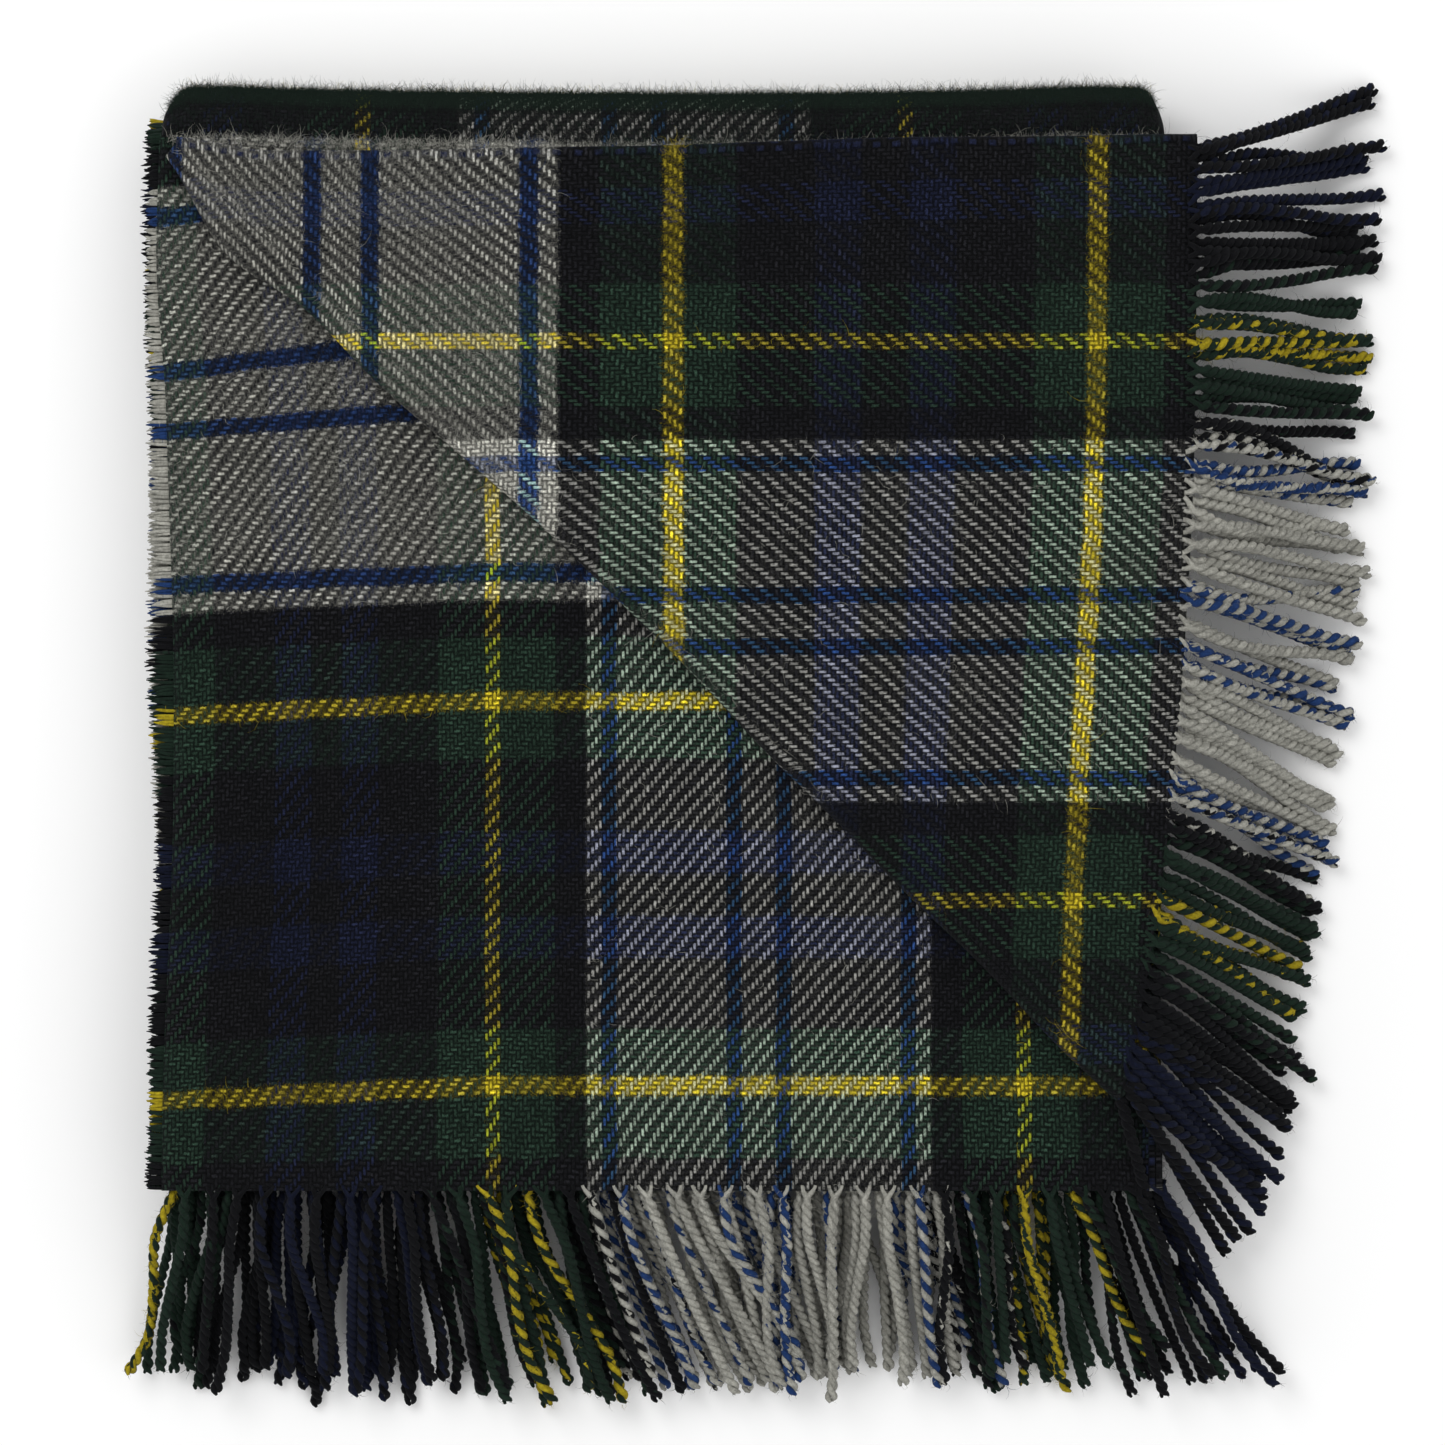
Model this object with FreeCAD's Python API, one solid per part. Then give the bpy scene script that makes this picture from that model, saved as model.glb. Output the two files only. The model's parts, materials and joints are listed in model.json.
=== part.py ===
import FreeCAD, Part
import math
import os

# Folded woolen throw: one tartan cloth, folded to sixteen plies, with one corner of the
# top two plies turned back. Millimetres. The origin is on the floor under the middle of
# the stack, +X across the folded throw, +Y towards its rolled far edge, +Z up.

# ---- driving dimensions ----
STACK_WIDTH = 352.0        # a quarter of the 1.40 m wide cloth
STACK_DEPTH = 386.0        # a quarter of the 1.55 m long cloth
PLY_PITCH = 2.5            # one ply of brushed wool, pressed by its neighbours
PLY_GAP = 0.1              # clearance between neighbouring plies
PLIES_PER_BUNDLE = 4
BUNDLES = 4
TURNED_PLIES = 2           # the top two plies carry the turned corner
FRAY_LENGTH = 5.0          # raw weft ends past each selvedge
FRINGE_REACH = 68.0        # how far the hanging fringe stands out from the hem
FRINGE_THICKNESS = 2.0
FRINGE_TIP_HEIGHT = 1.0    # lowest fringe tips, just clear of the floor
CORNER_CLEARANCE = 0.4     # between the turned corner and the plies it can lie on
CREASE_OFFSET = 1.5        # the crease axis passes through (CREASE_OFFSET, CREASE_OFFSET)
CORNER_HEM_X = 186.0       # where the turned corner's hem lies, past the stack's edge
CORNER_EDGE_Y = 176.0      # outer side of the turned corner's folded edge
CORNER_TIP = (160.0, -155.0)   # where the turned corner's hem meets the crease
CORNER_BEND_Y = -40.0      # the hem is straight down to here, then bends to the tip
FRINGE_PIVOT_X = 187.0     # the corner's fringe bends down along this line
FRINGE_PIVOT_CLEARANCE = 0.8   # lets the fringe bend past flat without meeting the hem
FRINGE_LOW_Y = -112.0      # near end of the corner's fringe slab at the pivot line
FRINGE_SPREAD = 32.0       # how far the corner's fringe fans out towards its near end

# ---- derived levels and lines ----
BUNDLE_HEIGHT = PLY_PITCH * PLIES_PER_BUNDLE
FAR_ROLL_RADIUS = 2 * BUNDLE_HEIGHT
PLY_COUNT = PLIES_PER_BUNDLE * BUNDLES
FIXED_PLIES = PLY_COUNT - TURNED_PLIES
CREASE_Z = PLY_COUNT * PLY_PITCH
RIGHT_EDGE = STACK_WIDTH / 2
LEFT_EDGE = -RIGHT_EDGE
FAR_EDGE = STACK_DEPTH / 2
NEAR_EDGE = -FAR_EDGE
ROLL_Y = FAR_EDGE - FAR_ROLL_RADIUS
NEAR_ROLL_Y = NEAR_EDGE + BUNDLE_HEIGHT
RIGHT_ROLL_RADIUS = 2 * PLY_PITCH
RIGHT_ROLL_X = RIGHT_EDGE - RIGHT_ROLL_RADIUS
LEFT_ROLL_X = LEFT_EDGE + PLY_PITCH
HALF_GAP = PLY_GAP / 2

X_AXIS = FreeCAD.Vector(1, 0, 0)
Y_AXIS = FreeCAD.Vector(0, 1, 0)


def box(x_low, x_high, y_low, y_high, z_low, z_high):
    corner = FreeCAD.Vector(x_low, y_low, z_low)
    return Part.makeBox(x_high - x_low, y_high - y_low, z_high - z_low, corner)


def prism(outline, z_low, z_high):
    """A flat piece of cloth from its (x, y) outline."""
    points = [FreeCAD.Vector(x, y, z_low) for x, y in outline]
    wire = Part.makePolygon(points + points[:1])
    return Part.Face(wire).extrude(FreeCAD.Vector(0, 0, z_high - z_low))


def half_round(radius, length, start, axis, side):
    """Half of a cylinder along axis; side points away from the flat of the half."""
    whole = Part.makeCylinder(radius, length, start, axis)
    reach = radius + 1.0
    middle = start + axis * (length / 2)
    cutter = Part.makeBox(2 * length + 2 * reach, 2 * length + 2 * reach, 2 * reach)
    cutter.translate(FreeCAD.Vector(-length - reach, -length - reach, 0))
    turn = FreeCAD.Rotation(FreeCAD.Vector(0, 0, 1), side)
    cutter.Placement = FreeCAD.Placement(middle, turn).multiply(cutter.Placement)
    return whole.common(cutter)


def half_ring(inner, outer, length, start, axis, side):
    """One fold of cloth: half of a tube, or of a rod when inner is zero."""
    fold = half_round(outer - HALF_GAP, length, start, axis, side)
    if inner > 0:
        fold = fold.cut(half_round(inner + HALF_GAP, length, start, axis, side))
    return fold


def save(shapes, node):
    """Write one node; its solids stay separate."""
    solids = [solid for shape in shapes for solid in shape.Solids]
    Part.makeCompound(solids).exportStep("parts/" + node + ".step")


def ply_levels(number):
    """Bottom and top of ply 1 to 16, counted from the floor."""
    low = (number - 1) * PLY_PITCH + HALF_GAP
    if number == 1:
        low = 0.0
    return low, number * PLY_PITCH - HALF_GAP


def near_end(bundle):
    """The two lower bundles end at the near fold, the two upper ones at their hems."""
    if bundle < 2:
        return NEAR_ROLL_Y + HALF_GAP
    return NEAR_EDGE


def full_plies():
    for number in range(1, FIXED_PLIES + 1):
        low, high = ply_levels(number)
        bundle = (number - 1) // PLIES_PER_BUNDLE
        ply = box(LEFT_ROLL_X + HALF_GAP, RIGHT_ROLL_X - HALF_GAP,
                  near_end(bundle), ROLL_Y - HALF_GAP, low, high)
        save([ply], "ply_%02d" % number)


def cut_plies():
    """What stays flat of the top two plies: the triangle beyond the crease."""
    margin = CREASE_OFFSET + CORNER_CLEARANCE * math.sqrt(2)
    far = ROLL_Y - HALF_GAP
    right = RIGHT_ROLL_X - HALF_GAP
    crease_sum = 2 * margin
    outline = [(crease_sum - far, far), (right, crease_sum - right), (right, far)]
    for number in range(FIXED_PLIES + 1, PLY_COUNT + 1):
        low, high = ply_levels(number)
        save([prism(outline, low + HALF_GAP, high)], "ply_%02d" % number)


def far_rolls():
    """The far edge: the top bundle rolls down to the bottom one around the middle two."""
    start = FreeCAD.Vector(LEFT_EDGE + FAR_ROLL_RADIUS / 2, ROLL_Y, FAR_ROLL_RADIUS)
    length = STACK_WIDTH - FAR_ROLL_RADIUS
    outer = half_ring(BUNDLE_HEIGHT, FAR_ROLL_RADIUS, length, start, X_AXIS, Y_AXIS)
    inner = half_ring(0, BUNDLE_HEIGHT, length, start, X_AXIS, Y_AXIS)
    save([outer], "far_roll_outer")
    save([inner], "far_roll_inner")


def near_roll():
    """The lower two bundles turn into each other under the fringes."""
    start = FreeCAD.Vector(LEFT_ROLL_X, NEAR_ROLL_Y, BUNDLE_HEIGHT)
    length = RIGHT_ROLL_X - LEFT_ROLL_X
    save([half_ring(0, BUNDLE_HEIGHT, length, start, X_AXIS, -Y_AXIS)], "near_roll")


def right_folds():
    """Each bundle turns back at its right edge: one fold nested in another."""
    for bundle in range(BUNDLES):
        middle_z = (bundle + 0.5) * BUNDLE_HEIGHT
        low_y = near_end(bundle)
        if bundle == BUNDLES - 1:
            low_y = 2 * CREASE_OFFSET - RIGHT_ROLL_X
        start = FreeCAD.Vector(RIGHT_ROLL_X, low_y, middle_z)
        length = ROLL_Y - HALF_GAP - low_y
        outer = half_ring(PLY_PITCH, RIGHT_ROLL_RADIUS, length, start, Y_AXIS, X_AXIS)
        inner = half_ring(0, PLY_PITCH, length, start, Y_AXIS, X_AXIS)
        save([outer, inner], "right_fold_%d" % (bundle + 1))


# The folded left edge joins two neighbouring plies; this is the level between them, in
# plies above the bundle's bottom. The other two plies of the bundle end in selvedges.
LEFT_FOLD_LEVELS = [1, 3, 1]
SELVEDGE_LEVELS = [(2, 3), (0, 1), (2, 3), (0, 1)]


def left_folds():
    for bundle, level in enumerate(LEFT_FOLD_LEVELS):
        middle_z = bundle * BUNDLE_HEIGHT + level * PLY_PITCH
        low_y = near_end(bundle)
        start = FreeCAD.Vector(LEFT_ROLL_X, low_y, middle_z)
        fold = half_ring(0, PLY_PITCH, ROLL_Y - HALF_GAP - low_y, start, Y_AXIS, -X_AXIS)
        save([fold], "left_fold_%d" % (bundle + 1))


def selvedges():
    """Raw weft ends along the left edge, two plies of them in each bundle."""
    for bundle, levels in enumerate(SELVEDGE_LEVELS):
        strips = []
        for level in levels:
            low, high = ply_levels(bundle * PLIES_PER_BUNDLE + level + 1)
            low = max(low, HALF_GAP)
            strips.append(box(LEFT_EDGE - FRAY_LENGTH, LEFT_ROLL_X, near_end(bundle), ROLL_Y - HALF_GAP,
                              low, high))
        save(strips, "selvedge_fray_%d" % (bundle + 1))


def fringe_slab(hem_z, tip_z, reach, thickness):
    """Side outline of one hanging fringe row: (distance out from the hem, height)."""
    return [(0.0, hem_z - thickness / 2), (reach, tip_z), (reach, tip_z + thickness),
            (0.0, hem_z + thickness / 2)]


def near_fringes():
    """Six fringe rows hang from the hems of the two upper bundles, down to the floor."""
    rows = range(2 * PLIES_PER_BUNDLE + 1, FIXED_PLIES + 1)
    for index, number in enumerate(rows):
        low, high = ply_levels(number)
        tip_z = FRINGE_TIP_HEIGHT + index * (FRINGE_THICKNESS + PLY_GAP)
        side = fringe_slab((low + high) / 2, tip_z, FRINGE_REACH, FRINGE_THICKNESS)
        points = [FreeCAD.Vector(LEFT_ROLL_X, NEAR_EDGE - PLY_GAP - out, z) for out, z in side]
        face = Part.Face(Part.makePolygon(points + points[:1]))
        row = face.extrude(FreeCAD.Vector(RIGHT_ROLL_X - LEFT_ROLL_X, 0, 0))
        save([row], "near_fringe_%d" % (index + 1))


CORNER_LOW = CREASE_Z + CORNER_CLEARANCE
CORNER_PLY = (TURNED_PLIES * PLY_PITCH - 2 * CORNER_CLEARANCE) / TURNED_PLIES


def corner_levels(index):
    low = CORNER_LOW + index * CORNER_PLY
    return low + HALF_GAP, low + CORNER_PLY - HALF_GAP


def corner_plies():
    """The turned corner: both plies lie mirrored over the crease."""
    margin = CREASE_OFFSET + CORNER_CLEARANCE * math.sqrt(2)
    edge = CORNER_EDGE_Y - PLY_PITCH
    outline = [(2 * margin - edge, edge), CORNER_TIP, (CORNER_HEM_X - 5.0, CORNER_BEND_Y),
               (CORNER_HEM_X, -CORNER_BEND_Y), (CORNER_HEM_X, edge)]
    for index, node in enumerate(("corner_inner_ply", "corner_outer_ply")):
        low, high = corner_levels(index)
        save([prism(outline, low, high)], node)


def corner_edge():
    """The fold that joins the corner's two plies along its far side."""
    middle_z = CORNER_LOW + CORNER_PLY
    edge = CORNER_EDGE_Y - PLY_PITCH
    start = FreeCAD.Vector(2 * CREASE_OFFSET - edge + 3.0, edge + HALF_GAP, middle_z)
    length = CORNER_HEM_X - start.x
    save([half_ring(0, CORNER_PLY, length, start, X_AXIS, Y_AXIS)], "corner_edge_fold")


def corner_fringes():
    """Two fringe rows hang from the corner's hem over the stack's right edge."""
    for index, node in enumerate(("corner_fringe_lower", "corner_fringe_upper")):
        low, high = corner_levels(index)
        tip_z = FRINGE_TIP_HEIGHT + index * (FRINGE_THICKNESS + PLY_GAP)
        side = fringe_slab((low + high) / 2, tip_z, FRINGE_REACH, FRINGE_THICKNESS)
        rings = []
        for near_end_of_row in (True, False):
            ring = []
            for out, z in side:
                y = CORNER_EDGE_Y - PLY_PITCH
                if near_end_of_row:
                    y = FRINGE_LOW_Y - FRINGE_SPREAD * out / FRINGE_REACH
                ring.append(FreeCAD.Vector(FRINGE_PIVOT_X + FRINGE_PIVOT_CLEARANCE + out, y, z))
            rings.append(Part.makePolygon(ring + ring[:1]))
        save([Part.makeLoft(rings, True, True)], node)


def crease_roll():
    """The two plies' own half turn along the crease, which flattens as the corner opens."""
    along = FreeCAD.Vector(1, -1, 0).normalize()
    outward = FreeCAD.Vector(-1, -1, 0).normalize()
    top_left = FreeCAD.Vector(2 * CREASE_OFFSET - ROLL_Y + 4.0, ROLL_Y - 4.0, CREASE_Z)
    tip_x = CORNER_TIP[0] - 2.0
    length = (tip_x - top_left.x) * math.sqrt(2)
    outer_radius = TURNED_PLIES * PLY_PITCH - CORNER_CLEARANCE
    outer = half_ring(PLY_PITCH, outer_radius, length, top_left, along, outward)
    inner = half_ring(0, PLY_PITCH, length, top_left, along, outward)
    save([outer, inner], "crease_roll")


os.makedirs("parts", exist_ok=True)
full_plies()
cut_plies()
far_rolls()
near_roll()
right_folds()
left_folds()
selvedges()
near_fringes()
corner_plies()
corner_edge()
corner_fringes()
crease_roll()
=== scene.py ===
import json
import math

import bmesh
import bpy
import numpy as np
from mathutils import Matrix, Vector


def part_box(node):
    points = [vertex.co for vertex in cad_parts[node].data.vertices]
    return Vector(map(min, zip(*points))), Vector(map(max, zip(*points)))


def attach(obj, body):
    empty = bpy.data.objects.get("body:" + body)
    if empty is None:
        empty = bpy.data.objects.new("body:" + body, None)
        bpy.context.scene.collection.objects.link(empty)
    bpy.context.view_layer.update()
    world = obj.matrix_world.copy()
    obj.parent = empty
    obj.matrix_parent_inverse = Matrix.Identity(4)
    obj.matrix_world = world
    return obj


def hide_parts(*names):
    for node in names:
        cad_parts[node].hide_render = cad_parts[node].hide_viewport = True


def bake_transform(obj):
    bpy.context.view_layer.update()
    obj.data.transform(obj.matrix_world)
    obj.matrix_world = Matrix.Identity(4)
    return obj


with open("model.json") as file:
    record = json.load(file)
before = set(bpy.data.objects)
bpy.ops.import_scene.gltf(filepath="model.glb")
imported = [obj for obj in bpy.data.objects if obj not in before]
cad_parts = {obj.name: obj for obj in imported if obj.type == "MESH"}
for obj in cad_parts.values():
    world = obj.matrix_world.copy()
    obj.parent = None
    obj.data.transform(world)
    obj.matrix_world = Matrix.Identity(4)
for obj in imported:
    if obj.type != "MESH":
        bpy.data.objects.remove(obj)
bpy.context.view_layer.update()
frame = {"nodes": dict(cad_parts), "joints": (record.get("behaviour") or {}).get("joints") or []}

# A folded tartan throw. Lengths in this script are millimetres until a mesh is made.
# The cloth's own grid is (end, pick): warp ends counted across it, weft picks along it.

MM = 0.001
rng = np.random.default_rng(7)


def box_mm(node):
    low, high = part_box(node)
    return np.array(low) / MM, np.array(high) / MM


# ---- the frame's sizes ----
LOWER_LOW, LOWER_HIGH = box_mm("ply_14")    # the lower of the two plies that show
HEM_Y = LOWER_LOW[1]
ROLL_Y = LOWER_HIGH[1]
LEFT_TURN_X = LOWER_LOW[0]
RIGHT_TURN_X = LOWER_HIGH[0]
PITCH = LOWER_HIGH[2] - box_mm("ply_13")[1][2]
LEFT_X = box_mm("left_fold_3")[0][0]
RIGHT_X = box_mm("right_fold_3")[1][0]
NEAR_TURN_Y = box_mm("ply_01")[0][1]
BUNDLE = 4 * PITCH
JOINTS = {joint["name"]: np.array(joint["pos_m"]) / MM for joint in frame["joints"]}
CREASE_X, CREASE_Y, CREASE_Z = JOINTS["corner_fold"]
CORNER_OUTER_LOW, CORNER_OUTER_HIGH = box_mm("corner_outer_ply")
CORNER_INNER_Z = sum(corner[2] for corner in box_mm("corner_inner_ply")) / 2
CORNER_OUTER_Z = (CORNER_OUTER_LOW[2] + CORNER_OUTER_HIGH[2]) / 2
CORNER_HEM_X = CORNER_OUTER_HIGH[0]
CORNER_EDGE_Y = CORNER_OUTER_HIGH[1]
CORNER_TIP_Y = CORNER_OUTER_LOW[1]
CORNER_CLOTH_TIP_Y = CORNER_TIP_Y - 3    # the cloth itself runs on a little past its slab
PLY_15_Z = 3 * BUNDLE + 2.5 * PITCH
PLY_16_Z = 3 * BUNDLE + 3.5 * PITCH
CLOTH_THICKNESS = 2.1
CORNER_THICKNESS = 1.9
CREASE_GAP = 0.4    # between the crease's line and the flat cloth on each side of it
SIDE = math.sqrt(0.5)

# ---- the tartan ----
# Half of each mirrored repeat, from its pale middle outwards: (threads, colour).
WARP_SETT = [(4, "cream"), (4, "blue"), (28, "cream"), (4, "blue"), (4, "cream"), (8, "black"),
             (14, "green"), (4, "yellow"), (12, "green"), (16, "black"), (10, "navy"), (4, "black")]
WEFT_SETT = [(5, "cream"), (4, "blue"), (30, "cream"), (4, "blue"), (4, "cream"), (8, "black"),
             (12, "green"), (4, "yellow"), (11, "green"), (16, "black"), (10, "navy"), (5, "black")]
WARP_REPEAT = 2 * sum(count for count, name in WARP_SETT)
YARNS = {"cream": (0.36, 0.355, 0.315), "blue": (0.014, 0.038, 0.125), "black": (0.0050, 0.0050, 0.0060),
         "green": (0.010, 0.021, 0.014), "yellow": (0.37, 0.29, 0.014), "navy": (0.0060, 0.0078, 0.020)}

# Each visible layer: where a pale middle lies, and the size of one end or pick.
LOWER_END, LOWER_MIDDLE_X = 1.376, 33.8
TOP_END, TOP_MIDDLE_X = 1.40, -10.0
BACK_END = 1.435
PICK = 1.5575
CORNER_END, CORNER_MIDDLE_Y = 1.435, 7.0


def lower_end(x):
    return (x - LOWER_MIDDLE_X) / LOWER_END


def back_end(x):
    return WARP_REPEAT - x / BACK_END


# The top two plies: the upper face of the bundle, and the side under it.
def top_end(x):
    return 2 * WARP_REPEAT + (x - TOP_MIDDLE_X) / TOP_END


def under_end(x):
    return top_end(RIGHT_TURN_X) + 8 + (RIGHT_TURN_X - x) / TOP_END


# ---- helpers ----
def pack(*values):
    """Values side by side: x, y and z as points, or ends and picks as threads."""
    return np.stack(values, axis=-1)


def smooth(x):
    x = np.clip(x, 0, 1)
    return x * x * (3 - 2 * x)


# Where the lower ply's weft stripes lie: (y, pick) across its middle and at its left edge.
MIDDLE_PICKS = [(-193, -177.0), (-155.8, -157), (-89, -113), (-21, -69), (24.5, -41), (83, -7), (108, 7),
                (173, 56.5)]
EDGE_PICKS = [(-193, -176.6), (-161.7, -157), (-95, -113), (-27, -69), (19.6, -41), (73.5, -7), (92.8, 7),
              (146.8, 41), (173, 57.0)]


def lower_pick(x, y):
    """The lower ply's pick: its stripes sag towards the left edge."""
    towards_middle = np.clip((x + 178) / 116, 0, 1) ** 0.8
    edge = np.interp(y, *zip(*EDGE_PICKS))
    return edge + (np.interp(y, *zip(*MIDDLE_PICKS)) - edge) * towards_middle


def waves(a, b, seed):
    """Smooth noise of about -1 to 1 over two coordinates."""
    own = np.random.default_rng(seed)
    total = 0
    for level in range(7):
        turn = own.uniform(0, 2 * math.pi)
        rate = own.uniform(0.6, 1.9)
        total = total + np.sin(rate * (a * math.cos(turn) + b * math.sin(turn)) + own.uniform(0, 6.3))
    return total / 3.2


def mesh_object(name, points, faces, uvs):
    """A mesh from points in mm; uvs holds one (end, pick) for each face corner."""
    mesh = bpy.data.meshes.new(name)
    mesh.from_pydata((np.asarray(points) * MM).tolist(), [], np.asarray(faces).tolist())
    layer = mesh.uv_layers.new(name="threads")
    layer.data.foreach_set("uv", np.asarray(uvs, dtype=np.float32).ravel())
    mesh.polygons.foreach_set("use_smooth", [True] * len(mesh.polygons))
    obj = bpy.data.objects.new(name, mesh)
    bpy.context.scene.collection.objects.link(obj)
    return obj


def grid_faces(rows, columns, closed=False):
    """Quads of a grid of rows x columns points, its columns closed into a ring if asked."""
    i, j = np.meshgrid(np.arange(rows - 1), np.arange(columns if closed else columns - 1), indexing="ij")
    i, j = i.ravel(), j.ravel()
    k = (j + 1) % columns
    return pack(i * columns + j, i * columns + k, (i + 1) * columns + k, (i + 1) * columns + j)


def solidify(obj, thickness):
    modifier = obj.modifiers.new("cloth", "SOLIDIFY")
    modifier.thickness = thickness * MM
    modifier.offset = 0
    return obj


# ---- how the real cloth leaves the straight lines of its folds ----
def left_edge_wave(y):
    """The left edge bows in at its middle and out at both ends."""
    return 3.6 - 4.1 * smooth((y - 80) / 60) - 3.4 * smooth((-60 - y) / 120)


# Where the far roll's two ends start to taper, in from its edge, and how far they do.
ROLL_TAPER_LEFT, ROLL_TAPER_RIGHT = 10.0, 8.0
ROLL_TAPER = 0.93
# The far edge stands further out at its ends, most at the left.
FAR_EDGE_BOW, FAR_EDGE_TILT = 3.4, 0.65


def deform(points, ply):
    """Bend straight-sided folds of cloth the way the real ones lie."""
    x, y, z = points[..., 0], points[..., 1], points[..., 2]
    height = z / CREASE_Z
    # selvedges and folds drift sideways, each ply a little differently
    left = smooth((-x - 60) / 110)
    right = smooth((x - 60) / 110)
    x = x + left * (left_edge_wave(y) * height + 1.1 * waves(y / 38, ply * 2.3, 3))
    x = x + right * 0.9 * waves(y / 45, np.floor(z / BUNDLE) * 3.1, 5)
    # the rolled far edge tapers off at its two ends
    reach = np.where(x < 0, ROLL_TAPER_LEFT, ROLL_TAPER_RIGHT)
    end = np.clip((np.abs(x) - (RIGHT_X - reach)) / reach, 0, 1) * ROLL_TAPER
    taper = np.sqrt(1 - end * end)
    y = np.where(y > ROLL_Y, ROLL_Y + (y - ROLL_Y) * taper, y)
    rise = FAR_EDGE_BOW * np.clip(x / 150, -1, 1) ** 2 - FAR_EDGE_TILT * np.clip(x / 110, -1, 1)
    y = y + smooth((y - 120) / 60) * (1.5 * waves(x / 42, z / 60, 8) + rise)
    # soft swells, none at the floor
    z = z + height * (0.75 * waves(x / 30, y / 30, 11) + 0.35 * waves(x / 11, y / 11, 12))
    return pack(x, y, z)


# ---- the folded cloth ----
def profile():
    """Across the cloth: x, height within a bundle, warp end and ply number."""
    rows = []

    def straight(x_from, x_to, height, end, step, ply):
        count = int(abs(x_to - x_from) / step)
        for x in np.linspace(x_from, x_to, count + 1):
            rows.append((x, height, end(x), ply))

    def turn(centre_x, centre_h, radius, side, rising, end_from, end_to, ply, steps):
        for k in range(1, steps):
            angle = math.pi * k / steps
            height = centre_h - rising * radius * math.cos(angle)
            share = k / steps
            rows.append((centre_x + side * radius * math.sin(angle), height,
                         end_from * (1 - share) + end_to * share, ply + share))

    a, b, c, d = [(k + 0.5) * PITCH for k in range(4)]
    right, left = RIGHT_TURN_X, LEFT_TURN_X
    straight(LEFT_X, right, a, under_end, 14, 0)
    turn(right, BUNDLE / 2, 1.5 * PITCH, 1, 1, under_end(right), top_end(right), 0, 12)
    straight(right, left, d, top_end, 6, 1)
    turn(left, 3 * PITCH, PITCH / 2, -1, -1, top_end(left), back_end(left), 1, 8)
    straight(left, right, c, back_end, 12, 2)
    turn(right, BUNDLE / 2, PITCH / 2, 1, -1, back_end(right), lower_end(right), 2, 8)
    straight(right, LEFT_X, b, lower_end, 6, 3)
    return np.array(rows)


NO_STRIPES = 1000.0
TOP_ROW_STEP = 6.0


def lengthwise():
    """Along the cloth, from the lower hem to the upper one.

    Each row: the point and the normal that the bundle's height is measured along, as
    y, z, normal y, normal z, then the pick at no height, the picks per mm of height, and
    the y whose stripes the row takes on the lower ply (past every ply elsewhere).
    """
    rows = []
    top_pick = MIDDLE_PICKS[-1][1]
    shift = math.pi * 1.5 * PITCH / PICK
    per_height = -math.pi / PICK
    steps = 26
    for y in np.arange(HEM_Y, ROLL_Y, TOP_ROW_STEP):
        rows.append((y, 3 * BUNDLE, 0, 1, shift, per_height, y))
    for k in range(steps + 1):
        angle = math.pi * k / steps
        normal = (math.sin(angle), math.cos(angle))
        rows.append((ROLL_Y + BUNDLE * normal[0], 2 * BUNDLE + BUNDLE * normal[1], *normal,
                     top_pick + shift + BUNDLE * angle / PICK, per_height + angle / PICK, NO_STRIPES))
    base = rows[-1][4]
    for y in np.arange(ROLL_Y - 12, NEAR_TURN_Y, -12.0):
        rows.append((y, BUNDLE, 0, -1, base + (ROLL_Y - y) / PICK, 0, NO_STRIPES))
    base += (ROLL_Y - NEAR_TURN_Y) / PICK
    for k in range(13):
        angle = math.pi * (1 - k / 12)
        rows.append((NEAR_TURN_Y, BUNDLE, -math.sin(angle), math.cos(angle), base,
                     (math.pi - angle) / PICK, NO_STRIPES))
    for y in np.arange(NEAR_TURN_Y + 12, ROLL_Y, 12.0):
        rows.append((y, BUNDLE, 0, 1, base + (y - NEAR_TURN_Y) / PICK, math.pi / PICK, NO_STRIPES))
    base += (ROLL_Y - NEAR_TURN_Y) / PICK
    for k in range(17):
        angle = math.pi * (1 - k / 16)
        normal = (math.sin(angle), math.cos(angle))
        rows.append((ROLL_Y + BUNDLE * normal[0], 2 * BUNDLE + BUNDLE * normal[1], -normal[0], -normal[1],
                     base + BUNDLE * (math.pi - angle) / PICK, angle / PICK, NO_STRIPES))
    base = rows[-1][4]
    for y in np.arange(ROLL_Y - 12, HEM_Y, -12.0):
        rows.append((y, 3 * BUNDLE, 0, -1, base + (ROLL_Y - y) / PICK, 0, NO_STRIPES))
    rows.append((HEM_Y, 3 * BUNDLE, 0, -1, base + (ROLL_Y - HEM_Y) / PICK, 0, NO_STRIPES))
    return np.array(rows)


def picks_at(along, x, height):
    """The pick at each place of the folded cloth, from lengthwise() rows, x and height."""
    base, per_height, stripe_y = along[:, 4:5], along[:, 5:6], along[:, 6:7]
    level = base + per_height * height
    return np.where(stripe_y < NO_STRIPES, level + lower_pick(x + 0 * level, stripe_y + 0 * level), level)


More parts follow.
